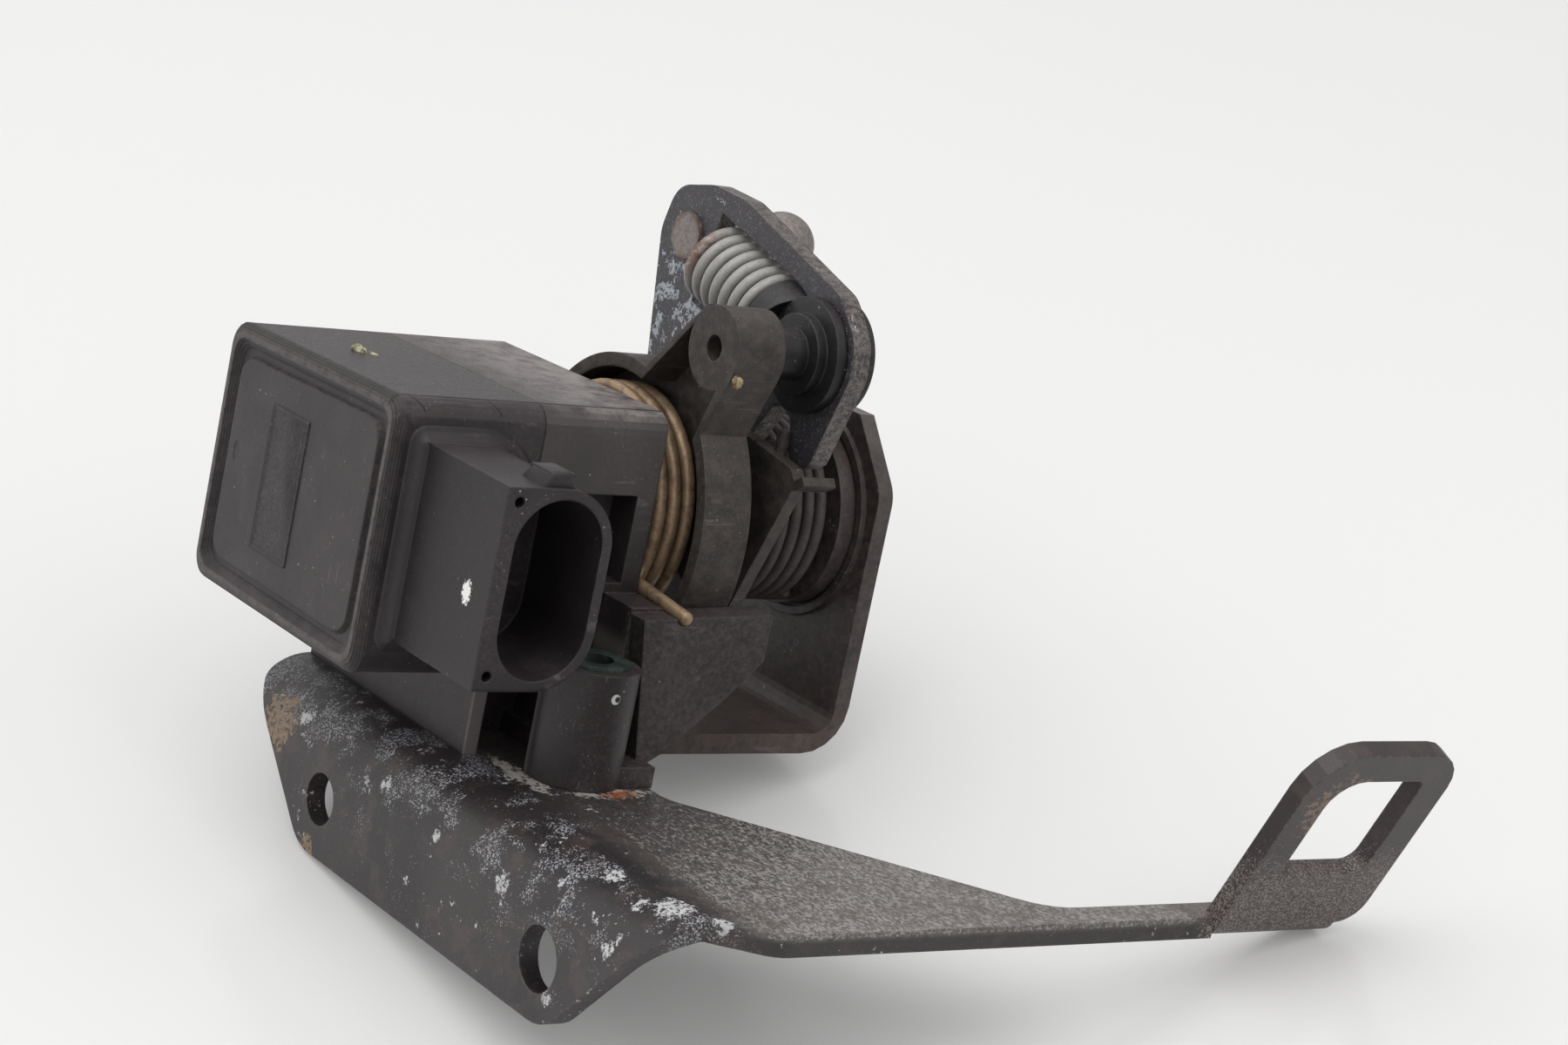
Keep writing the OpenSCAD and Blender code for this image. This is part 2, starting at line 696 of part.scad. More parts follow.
// Outline of the pickup lever from the shaft
module pickup_shape() {
    polygon(rounded([[-19.4, 12, 5], [-23, 36, 6], [-20.9, 42.9, 5], [-12, 44.8, 6], [-3.4, 44.3, 6],
                     [22.6, 36.6, 5], [27.8, 31.4, 5], [28.5, 26.2, 6], [23.4, 12.6, 1.4], [22, 11.4, 0.8],
                     [18.3, 12, 1.6], [17, 17.6, 2], [13, 19, 2], [6, 8.5, 4], [7, -7.6, 7],
                     [-8.4, -7.4, 8]]));
}

// Room in the pickup lever for the link spring and the sliding bush
module pickup_window() {
    slot_r = neck_r + side_gap;
    a = link_deg + override_deg;
    translate([link_x, link_z]) circle(slot_r);
    translate(polar(link_r, a)) circle(slot_r);
    translate([link_x, link_z]) rotate(link_dir) {
        polygon([[0, -slot_r], [9, -pocket_half], [link_end, -pocket_half],
                 [link_end, pocket_half], [9, pocket_half], [0, slot_r]]);
    }
}

module pickup_lever() color([0.22, 0.22, 0.24]) {
    difference() {
        at_shaft(pickup_y, pickup_t) difference() {
            pickup_shape();
            pickup_window();
        }
        rod(pivot_r + run_clear, pickup_y - 1, pickup_t + 2);
        rod(stud_r, pickup_y - 1, pickup_t + 2, stud_x, stud_z);
    }
}

module ball_stud() color([0.45, 0.4, 0.37]) {
    rod(3.5, pickup_y - 0.7, 0.7, stud_x, stud_z);
    rod(stud_r, pickup_y, pickup_t + 10, stud_x, stud_z);
    rod(4.6, pickup_back, 1.6, stud_x, stud_z);
    translate([axis_x + stud_x, pickup_back + 10 + ball_d / 2 - 1, axis_z + stud_z]) sphere(d = ball_d);
}

// Coil round the shaft: radius, first angle, signed turns, start and rise per turn
function coil(r, a0, turns, y0, pitch, steps = 20) =
    [for (i = [0:abs(turns) * steps])
        let (a = a0 + sign(turns) * 360 * i / steps)
        [axis_x + r * cos(a), y0 + pitch * i / steps, axis_z + r * sin(a)]];

module front_spring() color([0.55, 0.45, 0.28]) {
    path = concat([leg_tip, leg_top, [axis_x + front_coil_r - 1, leg_y + 0.2, axis_z - 7.9]],
        coil(front_coil_r, -24, 2.5, leg_y + 0.9, front_wire + 0.4));
    wire(path, front_wire / 2, [0, 1, 0]);
}

module rear_spring() color([0.13, 0.12, 0.12]) {
    y0 = pivot_end + 1.2;
    turns = 4;
    wire(coil(rear_coil_r, -60, turns, y0, 2.15), rear_wire / 2, [0, 1, 0]);
}

module link_spring() color([0.7, 0.7, 0.68]) {
    turns = 7;
    steps = 16;
    len = link_end - link_start - link_wire;
    on_link() wire([for (i = [0:turns * steps])
        let (a = 360 * i / steps)
        [link_start + link_wire / 2 + len * i / (turns * steps),
         link_coil_r * cos(a), link_coil_r * sin(a)]],
        link_wire / 2, [1, 0, 0], 6);
}

bracket();
base_frame();
sensor_cover();
cover_seal();
track_plate();
terminal(0);  // terminal_1
terminal(1);  // terminal_2
terminal(2);  // terminal_3
terminal(3);  // terminal_4
terminal(4);  // terminal_5
terminal(5);  // terminal_6
front_bearing();
rear_bearing();
shaft_seal();
front_sleeve();
rear_sleeve();
shaft();
rotor();
wiper_contacts();
throttle_lever();
link_pin();
slide_bush();
spring_cup();
pickup_lever();
ball_stud();
link_spring();
front_spring();
rear_spring();
thrust_washer();
retaining_clip();
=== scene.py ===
"""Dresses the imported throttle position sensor.

Lengths are in millimetres of the part's own frame, turned into metres for Blender.
"""

import math
import random

import bmesh
import bpy
from mathutils import Matrix, Vector, noise


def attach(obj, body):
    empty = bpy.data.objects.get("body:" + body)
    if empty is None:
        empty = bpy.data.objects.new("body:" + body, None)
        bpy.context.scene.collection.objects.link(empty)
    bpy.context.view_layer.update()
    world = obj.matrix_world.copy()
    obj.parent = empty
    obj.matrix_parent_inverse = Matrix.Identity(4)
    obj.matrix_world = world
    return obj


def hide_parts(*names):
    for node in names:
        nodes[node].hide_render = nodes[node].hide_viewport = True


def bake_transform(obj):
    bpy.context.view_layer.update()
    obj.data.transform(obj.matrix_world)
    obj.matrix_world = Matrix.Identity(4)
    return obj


MM = 0.001

# The table that the part lies on: its direction up, and the part's point that touches it
UP = Vector((0.1594, -0.2855, 0.945)).normalized()
REST = Vector((-45.1, 68.8, 14.2))

# Directions along the table: to the photo's right, and away from its camera
RIGHT = Vector((0.561, 0.812, 0.151))
AWAY = Vector((-0.795, 0.530, 0.294))

# The lever's axis, along Y
AXIS_X = -27.1
AXIS_Z = 46.2

# The link pin, in polar form round the lever's axis, and the link spring's direction
LINK_R = 33.2
LINK_ANGLE = math.radians(54.9)
LINK_Y = 54.5
LINK_LEAN = math.radians(166.2)

# The plug socket's middle, in its side view
SOCKET_Y = 2.2
SOCKET_Z = 44.2

# The moulds' parting line, and where the housing's top begins
PARTING_X = -11.9
TOP_Z = 61

# Colours of specks, edges lighter with wear and painted highlight, grooves and bloom
PALE_SPECK = (0.42, 0.40, 0.39)
PLASTIC_WEAR_AND_HIGHLIGHT = (0.21, 0.182, 0.18)
STEEL_WEAR_AND_HIGHLIGHT = (0.27, 0.245, 0.235)
GROOVE = (0.006, 0.005, 0.005)
BLOOM = (0.44, 0.47, 0.52)

# Places on the bracket where the white bloom is thick, each with its radius
CLUMPS = (
    ((29.1, 0.8, 14.0), 2.4), ((34.4, 5.5, 13.8), 2.2), ((18.2, 0.0, 5.9), 1.9),
    ((46.5, 6.9, 13.8), 3.2), ((42.6, 3.7, 13.6), 2.2), ((-38.7, 0.2, 9.4), 2.4),
    ((-42.6, 0.6, 11.8), 2.4), ((-14.0, 0.0, 8.0), 1.6), ((52.6, 10.1, 13.8), 1.8),
    ((1.1, 0.0, 6.0), 1.2), ((33.0, 0.2, -4.0), 1.4),
)

# A wire's domed end: how far out each ring lies and how wide it is, as shares of the radius
DOME = ((0.0, 1.0), (0.2, 0.93), (0.42, 0.72), (0.55, 0.3))

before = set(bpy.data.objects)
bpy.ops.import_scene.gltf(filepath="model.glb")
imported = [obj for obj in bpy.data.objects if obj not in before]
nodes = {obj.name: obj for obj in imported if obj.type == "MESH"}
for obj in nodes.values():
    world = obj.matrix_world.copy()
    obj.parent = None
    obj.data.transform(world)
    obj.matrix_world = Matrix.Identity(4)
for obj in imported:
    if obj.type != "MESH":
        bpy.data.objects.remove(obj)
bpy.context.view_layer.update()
scene = bpy.context.scene


def link(obj):
    scene.collection.objects.link(obj)
    return obj


def make_camera():
    """The photo's own camera, worked out from its perspective."""
    right = Vector((0.5693, 0.7976, 0.1995)).normalized()
    back = Vector((0.7701, -0.6023, 0.2104))
    back = (back - right * back.dot(right)).normalized()
    up = back.cross(right)
    data = bpy.data.cameras.new("camera")
    data.lens = 84
    data.sensor_width = 36
    data.clip_start = 0.02
    data.clip_end = 30
    cam = link(bpy.data.objects.new("camera", data))
    turn = Matrix((right, up, back)).transposed().to_4x4()
    cam.matrix_world = Matrix.Translation(Vector((391.5, -258.4, 158.1)) * MM) @ turn
    scene.camera = cam


class Graph:
    """A material's nodes, with positions in millimetres of the part's own frame."""

    def __init__(self, name):
        self.material = bpy.data.materials.new(name)
        self.material.use_nodes = True
        self.tree = self.material.node_tree
        self.tree.nodes.clear()
        self.out = self.node("ShaderNodeOutputMaterial")
        self.bsdf = self.node("ShaderNodeBsdfPrincipled")
        self.tree.links.new(self.bsdf.outputs[0], self.out.inputs["Surface"])
        where = self.node("ShaderNodeTexCoord").outputs["Object"]
        scale = self.node("ShaderNodeVectorMath", operation="SCALE")
        scale.inputs["Scale"].default_value = 1 / MM
        self.tree.links.new(where, scale.inputs[0])
        self.mm = scale.outputs[0]

    def node(self, kind, **props):
        made = self.tree.nodes.new(kind)
        for key, value in props.items():
            setattr(made, key, value)
        return made

    def put(self, socket, value):
        """Gives a socket a link, a colour or a plain value."""
        if isinstance(value, bpy.types.NodeSocket):
            self.tree.links.new(value, socket)
        elif socket.type == "RGBA":
            socket.default_value = (*value, 1)
        else:
            socket.default_value = value

    def math(self, op, a, b=0.0, clamp=False):
        made = self.node("ShaderNodeMath", operation=op, use_clamp=clamp)
        self.put(made.inputs[0], a)
        self.put(made.inputs[1], b)
        return made.outputs[0]

    def plus(self, a, b):
        return self.math("ADD", a, b)

    def minus(self, a, b):
        return self.math("SUBTRACT", a, b)

    def most(self, a, b):
        return self.math("MAXIMUM", a, b)

    def times(self, first, *others):
        for other in others:
            first = self.math("MULTIPLY", first, other)
        return first

    def span(self, value, low, high, to_low=0.0, to_high=1.0):
        """A value's way from low to high, eased, as the way between two others."""
        made = self.node("ShaderNodeMapRange", interpolation_type="SMOOTHSTEP")
        for name, v in (("Value", value), ("From Min", low), ("From Max", high),
                        ("To Min", to_low), ("To Max", to_high)):
            self.put(made.inputs[name], v)
        return made.outputs[0]

    def mix(self, fac, a, b):
        made = self.node("ShaderNodeMix", data_type="RGBA")
        self.put(made.inputs[0], fac)
        self.put(made.inputs[6], a)
        self.put(made.inputs[7], b)
        return made.outputs[2]

    def paint(self, shade, mask, share, colour):
        """Lays a share of a colour over a shade where the mask is."""
        return self.mix(self.times(mask, share), shade, colour)

    def stretch(self, by, turn=(0, 0, 0)):
        made = self.node("ShaderNodeMapping")
        self.put(made.inputs["Vector"], self.mm)
        made.inputs["Scale"].default_value = by
        made.inputs["Rotation"].default_value = [math.radians(a) for a in turn]
        return made.outputs[0]

    def noise(self, scale, detail=4.0, rough=0.55, warp=0.0, at=None, shift=0.0):
        made = self.node("ShaderNodeTexNoise", noise_dimensions="4D")
        self.put(made.inputs["Vector"], at or self.mm)
        for name, v in (("Scale", scale), ("Detail", detail), ("Roughness", rough),
                        ("Distortion", warp), ("W", shift)):
            made.inputs[name].default_value = v
        return made.outputs[0]

    def cells(self, scale, shift):
        """Distance to the nearest of scattered points."""
        made = self.node("ShaderNodeTexVoronoi", voronoi_dimensions="4D", feature="F1")
        self.put(made.inputs["Vector"], self.mm)
        made.inputs["Scale"].default_value = scale
        made.inputs["W"].default_value = shift
        return made.outputs["Distance"]

    def near(self, centre, radius, soft=0.5, rough=0.0, grain=1.0, squash=(1, 1, 1)):
        """1 inside a ball round a place, 0 outside, with an uneven edge."""
        off = self.node("ShaderNodeVectorMath", operation="SUBTRACT")
        self.put(off.inputs[0], self.mm)
        off.inputs[1].default_value = centre
        flat = self.node("ShaderNodeVectorMath", operation="MULTIPLY")
        self.put(flat.inputs[0], off.outputs[0])
        flat.inputs[1].default_value = squash
        length = self.node("ShaderNodeVectorMath", operation="LENGTH")
        self.put(length.inputs[0], flat.outputs[0])
        dist = length.outputs["Value"]
        if rough:
            uneven = self.minus(self.noise(grain, 5, 0.65), 0.5)
            dist = self.plus(dist, self.times(uneven, rough * radius))
        return self.span(dist, radius * (1 + soft), radius * (1 - soft))

    def facing(self, direction):
        """How far the surface faces a direction of the part's own frame."""
        dot = self.node("ShaderNodeVectorMath", operation="DOT_PRODUCT")
        self.put(dot.inputs[0], self.node("ShaderNodeTexCoord").outputs["Normal"])
        dot.inputs[1].default_value = direction
        return dot.outputs["Value"]

    def rounded(self, radius):
        """The surface's normal, as if its edges were rounded."""
        bevel = self.node("ShaderNodeBevel", samples=4)
        bevel.inputs["Radius"].default_value = radius * MM
        return bevel.outputs[0]

    def corner(self, radius):
        """1 on a sharp edge of the shape, 0 on its faces."""
        dot = self.node("ShaderNodeVectorMath", operation="DOT_PRODUCT")
        self.put(dot.inputs[0], self.rounded(radius))
        self.put(dot.inputs[1], self.node("ShaderNodeNewGeometry").outputs["Normal"])
        return self.span(dot.outputs["Value"], 0.985, 0.84)

    def axis(self, index):
        made = self.node("ShaderNodeSeparateXYZ")
        self.put(made.inputs[0], self.mm)
        return made.outputs[index]

    def finish(self, colour, rough, height, depth, edge, metal=0.0, specular=0.5):
        """Sets the shader, with edges rounded by edge and a surface as deep as depth."""
        self.put(self.bsdf.inputs["Base Color"], colour)
        self.put(self.bsdf.inputs["Roughness"], rough)
        self.bsdf.inputs["Metallic"].default_value = metal
        self.bsdf.inputs["Specular IOR Level"].default_value = specular
        bump = self.node("ShaderNodeBump")
        bump.inputs["Strength"].default_value = 0.6
        bump.inputs["Distance"].default_value = depth * MM
        self.put(bump.inputs["Height"], height)
        if edge:
            self.put(bump.inputs["Normal"], self.rounded(edge))
        self.put(self.bsdf.inputs["Normal"], bump.outputs[0])
        return self.material


def dusted(g, colour, dust, amount, up_amount, seed):
    """Colour with dust, more of it on top, scratches and pale specks.

    Also gives the dust's mask and the fine noise.
    """
    cloud = g.noise(0.09, 6, 0.62, 0.4, shift=seed)
    fine = g.noise(2.2, 5, 0.72, shift=seed + 3)
    top = g.span(g.facing(UP), 0.25, 0.95)
    cover = g.times(g.span(cloud, 0.38, 0.64), g.span(fine, 0.26, 0.66), amount)
    cover = g.plus(cover, g.times(top, up_amount))
    cover = g.math("MULTIPLY", cover, g.span(fine, 0.3, 0.7, 0.6, 1.35), clamp=True)
    shade = g.mix(cover, colour, dust)
    group = g.span(g.noise(0.16, 3, 0.6, shift=seed + 9), 0.44, 0.58)
    specks = g.times(g.span(g.cells(0.75, seed), 0.14, 0.09), group)
    thin = g.span(cloud, 0.4, 0.56, 0.15, 1.0)
    small = g.times(g.span(g.cells(1.5, seed + 2), 0.19, 0.12), thin)
    specks = g.most(specks, g.times(small, 0.5))
    scratch = g.noise(1.0, 4, 0.6, 0.4, g.stretch((3.6, 0.09, 0.3), (12, 25, 40)), seed)
    scratch = g.times(g.span(scratch, 0.62, 0.67), g.span(cloud, 0.42, 0.6, 0.12, 0.55))
    shade = g.mix(scratch, shade, dust)
    return g.paint(shade, specks, 0.62, PALE_SPECK), cover, fine


def plastic(name, colour=(0.0205, 0.016, 0.0172), dust=(0.172, 0.140, 0.145), amount=0.17,
            up_amount=0.06, rough=0.42, edge=0.35, seed=0.0, extra=None, depth=0.05):
    """Dusty moulded plastic whose sharp edges are lighter, partly wear and partly painted
    highlight. extra adds the marks of one piece.
    """
    g = Graph(name)
    shade, cover, fine = dusted(g, colour, dust, amount, up_amount, seed)
    height = g.times(g.noise(3.4, 4, 0.65, shift=seed + 5), 0.5)
    dull = g.span(fine, 0.3, 0.7, rough - 0.06, rough + 0.06)
    dull = g.plus(g.times(cover, 0.3), dull)
    if extra:
        shade, height = extra(g, shade, height)
    # Sharp edges lightened: partly wear, partly painted highlight along the edges
    wear_and_edge_highlight = g.span(g.noise(0.7, 5, 0.7, shift=seed + 13), 0.36, 0.6)
    shade = g.paint(shade, g.times(g.corner(0.18), wear_and_edge_highlight), 0.4, PLASTIC_WEAR_AND_HIGHLIGHT)
    return g.finish(shade, dull, height, depth, edge, specular=0.38)


def line(g, value, at, half):
    """1 within half of a value, 0 away from it."""
    return g.span(g.math("ABSOLUTE", g.minus(value, at)), half * 1.5, half * 0.5)


def groove(g, shade, height, mask):
    """A mask drawn as a dark groove."""
    return g.paint(shade, mask, 0.92, GROOVE), g.minus(height, g.times(mask, 3.5))


def grains(g, speckle, mask, bare, full, soft=0.03):
    """Crisp grains of a noise, closer together where the mask is higher."""
    return g.span(g.minus(speckle, g.span(mask, 0, 1, bare, full)), 0.0, soft)


def cover_marks(g, shade, height):
    """The cover's mould lines, darker socket front, paint chip, dent with painted shade, painted
    highlight on the rim, and nick.
    """
    x, y, z = (g.axis(i) for i in range(3))
    top = g.span(z, TOP_Z, TOP_Z + 0.6)
    mask = g.times(line(g, x, PARTING_X, 0.19), top)
    mask = g.most(mask, g.times(line(g, x, -18, 0.1), 0.45, top))
    across = g.minus(y, g.times(g.plus(x, 12.0), 0.75))
    side = g.times(g.span(z, 61.3, 61.8), g.span(x, -12.2, -11.9))
    for at in (-8.8, 3.1):
        mask = g.most(mask, g.times(line(g, across, at, 0.12), side))
    shade, height = groove(g, shade, height, mask)
    # The socket's faces towards -Y are darkened
    darker_socket_side = g.times(g.span(x, -9, -7.5), g.span(g.facing((0, -1, 0)), 0.4, 0.9))
    shade = g.paint(shade, darker_socket_side, 0.7, (0.010, 0.0085, 0.0095))
    chip = g.near((7.9, -6.9, 42.2), 0.95, 0.1, 2.6, 2.0, (1, 1, 0.6))
    shade = g.mix(chip, shade, (0.8, 0.8, 0.79))
    dent = g.near((-50.2, -11.0, 44.5), 0.75, 0.4, 0.4, 1.2, (1, 1, 0.6))
    height = g.minus(height, g.times(dent, 8.0))
    # Painted shade inside the dent
    shade = g.paint(shade, dent, 0.5, (0.008, 0.007, 0.007))
    # Painted highlight along the lid's rim, broken up by noise
    haze_and_sheen = g.span(g.noise(0.8, 5, 0.7, shift=27), 0.3, 0.6)
    rim = g.times(g.span(y, -11.05, -11.3), haze_and_sheen)
    shade = g.paint(shade, rim, 0.32, (0.19, 0.165, 0.165))
    nick = g.near((-10.0, -9.4, 41.0), 0.45, 0.3, 1.5, 1.5)
    return g.mix(nick, shade, (0.7, 0.7, 0.68)), height


def frame_marks(g, shade, height):
    """The base's mould line, fleck, splashes, dirt and hazy dust on its parts, with painted sheen
    on its top and +X side and painted light in the hollow left of the boss.
    """
    x, y, z = (g.axis(i) for i in range(3))
    # Painted sheen: the top turns paler towards the back
    top = g.times(g.span(y, 6, 30), g.span(g.facing((0, 0, 1)), 0.5, 0.9), g.span(z, 58, 61))
    haze_and_sheen = g.times(top, g.span(g.noise(0.3, 6, 0.7, shift=31), 0.3, 0.62))
    shade = g.paint(shade, haze_and_sheen, 0.56, (0.36, 0.325, 0.31))
    # Painted sheen on the faces towards +X
    flank_sheen = g.times(g.span(g.facing((1, 0, 0)), 0.5, 0.9), g.span(z, 38, 52))
    shade = g.paint(shade, flank_sheen, 0.1, (0.34, 0.31, 0.30))
    mask = g.times(line(g, x, PARTING_X, 0.19), g.span(z, TOP_Z, TOP_Z + 0.6))
    shade, height = groove(g, shade, height, mask)

    middle = g.near((6.5, 21.1, 27.2), 0.42, 0.2, 0.4, 1.5)
    fleck = g.times(g.near((6.4, 20.8, 27.2), 0.72, 0.15, 0.5, 1.5), g.minus(1.0, middle))
    shade = g.mix(fleck, shade, (0.6, 0.59, 0.57))
    tray = g.times(g.span(y, 33, 40), g.span(z, 26, 17))
    dirt = g.times(tray, g.span(g.noise(0.5, 6, 0.72), 0.36, 0.6))
    shade = g.paint(shade, dirt, 0.7, (0.075, 0.052, 0.042))
    film = g.span(g.noise(0.7, 6, 0.72, shift=17), 0.4, 0.62, 0.1, 0.5)
    shade = g.mix(g.times(g.span(y, 55, 66), film), shade, (0.115, 0.09, 0.078))

    wall = g.times(g.span(y, 62, 64), g.span(g.facing((0, -1, 0)), 0.5, 0.9))
    splash = g.span(g.noise(0.3, 5, 0.7, shift=5), 0.54, 0.68)
    splash = grains(g, g.noise(1.6, 5, 0.72, shift=6), splash, 0.74, 0.5)
    shade = g.paint(shade, g.times(wall, splash), 0.75, (0.3, 0.3, 0.31))
    # Painted light: the hollow left of the boss is lightened where it lies in shade
    recess_painted_light = g.times(g.span(z, 34, 31), g.span(y, 27.5, 26.5), g.span(x, -1, -3),
                     g.span(x, -9.8, -9.2))
    shade = g.paint(shade, recess_painted_light, 0.75, (0.16, 0.142, 0.142))
    block = g.times(g.span(x, -3.4, -3.0), g.span(y, 25.5, 26.5))
    haze_and_sheen = g.times(block, g.span(g.noise(1.3, 6, 0.75, shift=8), 0.4, 0.66))
    return g.paint(shade, haze_and_sheen, 0.4, (0.12, 0.1, 0.095)), height


def lever_marks(g, shade, height):
    """Brown film on the moulded lever."""
    brown = g.span(g.noise(0.5, 6, 0.7, shift=4), 0.42, 0.64)
    return g.paint(shade, brown, 0.38, (0.1, 0.081, 0.068)), height


def painted_steel():
    """The bracket's black paint with salt specks, white patches and rust."""
    g = Graph("bracket_paint")
    x, y, z = (g.axis(i) for i in range(3))
    region = g.noise(0.05, 3, 0.5, shift=2)
    grit = g.noise(3.4, 3, 0.8, shift=12)
    sand = g.noise(2.4, 4, 0.78, at=g.stretch((0.6, 1.0, 1.0)), shift=14)
    fine = g.noise(1.5, 6, 0.78)

    tab = g.span(y, 84, 90)
    plate = g.times(g.span(z, 12.4, 13.5), g.span(g.plus(x, y), 16, 82, 0.42, 1.0))
    plate = g.times(plate, g.span(y, 8, 16), g.minus(1.0, tab))
    front = g.times(g.span(y, 12, 4), g.span(z, -14, 8, 0.12, 1.0))
    right = g.span(x, 0, 50)
    band = g.times(g.span(z, 3, 9), g.span(y, 16, 9))

    cloud = g.span(g.noise(0.14, 6, 0.7, shift=44), 0.41, 0.62)
    salt = g.plus(g.times(front, 0.25), g.times(band, 0.3))
    salt = g.plus(g.times(salt, g.span(cloud, 0, 1, 0.4, 1.7)), 0.06)
    salt = g.math("ADD", salt, g.times(cloud, 0.27), clamp=True)
    salt = grains(g, grit, salt, 0.70, 0.53, 0.025)
    dusty = grains(g, sand, plate, 0.67, 0.49, 0.05)
    # Grey film on the plate: partly dust, partly painted sheen that grows towards +X
    grey_dust_and_sheen = g.times(plate, g.span(g.noise(0.9, 6, 0.72, shift=5), 0.34, 0.62, 0.3, 1.0))
    grey_dust_and_sheen = g.times(grey_dust_and_sheen, g.plus(g.times(right, 0.28), 0.16))
    base = g.mix(g.span(region, 0.35, 0.65), (0.018, 0.015, 0.017), (0.032, 0.026, 0.027))
    base = g.mix(grey_dust_and_sheen, base, (0.29, 0.265, 0.25))
    base = g.paint(base, dusty, 0.66, (0.40, 0.375, 0.355))
    shade = g.paint(base, salt, 0.82, (0.46, 0.47, 0.50))
    salt = g.most(salt, dusty)

    clump = g.span(g.noise(0.2, 5, 0.66, shift=7), 0.55, 0.68)
    spots = g.times(g.span(g.noise(0.55, 4, 0.7, shift=30), 0.57, 0.68), 0.75)
    clump = g.most(clump, g.times(spots, g.span(region, 0.3, 0.5, 0.35, 1.0)))
    clump = g.times(clump, g.minus(1.0, g.times(plate, 0.8)), g.minus(1.0, g.times(tab, 0.5)))
    for place, radius in CLUMPS:
        clump = g.most(clump, g.near(place, radius, 0.75, 1.0, 0.8))
    patch = grains(g, fine, clump, 0.76, 0.455)
    shade = g.paint(shade, patch, 0.9, g.mix(g.noise(0.8, 3), BLOOM, (0.66, 0.64, 0.60)))
    brown = g.span(g.noise(0.21, 6, 0.7, shift=11), 0.5, 0.62)
    shade = g.paint(shade, brown, 0.4, (0.08, 0.058, 0.048))

    low = grains(g, grit, g.times(tab, g.span(z, 34, 16)), 0.66, 0.5)
    shade = g.paint(shade, tab, 0.4, (0.05, 0.039, 0.038))
    shade = g.paint(shade, low, 0.6, (0.34, 0.29, 0.265))
    rust = g.near((-44.5, 0.5, 6.5), 4.6, 0.45, 1.8, 0.5)
    rust = g.most(rust, g.near((-31.0, 0.0, -8.0), 2.4, 0.5, 2.0, 0.6))
    rust = grains(g, g.noise(1.4, 6, 0.75, shift=20), rust, 0.72, 0.43, 0.08)
    tan = g.mix(g.noise(1.3, 4, shift=6), (0.36, 0.26, 0.15), (0.14, 0.08, 0.045))
    shade = g.paint(shade, rust, 0.85, tan)
    foot = g.near((-1.0, 13.0, 13.8), 2.6, 0.6, 1.2, 0.6, (0.3, 1.2, 1))
    foot = g.most(foot, g.near((6.6, 23.0, 13.8), 2.8, 0.6, 1.2, 0.6, (1.3, 0.4, 1)))
    foot = grains(g, g.noise(1.2, 6, 0.75, shift=9), foot, 0.72, 0.43, 0.06)
    ember = g.span(g.noise(0.9, 5, shift=3), 0.42, 0.52)
    ember = g.times(g.near((7.0, 24.0, 13.8), 3.0, 0.5), ember)
    shade = g.paint(shade, foot, 0.88, g.mix(ember, (0.50, 0.475, 0.44), (0.40, 0.12, 0.04)))
    inner = g.near((69.0, 97.0, 32.0), 7.0, 0.5, 1.5, 0.5)
    inner = grains(g, g.noise(1.0, 6, 0.72, shift=15), inner, 0.72, 0.45, 0.08)
    shade = g.paint(shade, inner, 0.5, (0.3, 0.19, 0.12))
    # Sharp edges lightened: partly wear, partly painted highlight along the edges
    wear_and_highlight = g.times(g.corner(0.4), g.span(g.noise(1.4, 5, 0.74, shift=33), 0.46, 0.56))
    shade = g.paint(shade, wear_and_highlight, 0.45, STEEL_WEAR_AND_HIGHLIGHT)

    raised = g.most(salt, patch)
    height = g.plus(g.times(fine, 0.8), g.times(raised, 0.8))
    dull = g.span(g.most(raised, grey_dust_and_sheen), 0, 1, 0.40, 0.75)
    return g.finish(shade, dull, height, 0.1, 0.3)


def pickup_steel():
    """Dark coated steel with blue white bloom and a brown edge."""
    g = Graph("pickup_coating")
    fine = g.noise(1.4, 7, 0.78, shift=1)
    coarse = g.noise(0.24, 6, 0.7, 0.2, shift=3)
    base = g.mix(g.noise(0.15, 4, shift=8), (0.023, 0.020, 0.024), (0.043, 0.040, 0.045))
    salt = g.span(g.noise(2.6, 4, 0.78, shift=22), 0.56, 0.61)
    shade = g.paint(base, salt, 0.55, (0.27, 0.265, 0.275))
    left = g.near((-46.0, 53.0, 68.0), 12.0, 0.6, 1.2, 0.3)
    bloom = g.span(g.plus(coarse, g.times(left, 0.12)), 0.54, 0.68)
    patch = grains(g, fine, bloom, 0.74, 0.45)
    shade = g.paint(shade, patch, 0.82, BLOOM)
    side = g.span(g.math("ABSOLUTE", g.facing((0, 1, 0))), 0.8, 0.4)
    edge = g.times(side, g.span(g.noise(1.5, 6, 0.76, shift=5), 0.44, 0.56))
    shade = g.paint(shade, edge, 0.6, (0.21, 0.175, 0.15))
    dull = g.span(g.most(salt, patch), 0, 1, 0.42, 0.72)
    return g.finish(shade, dull, g.plus(fine, patch), 0.1, 0.35)


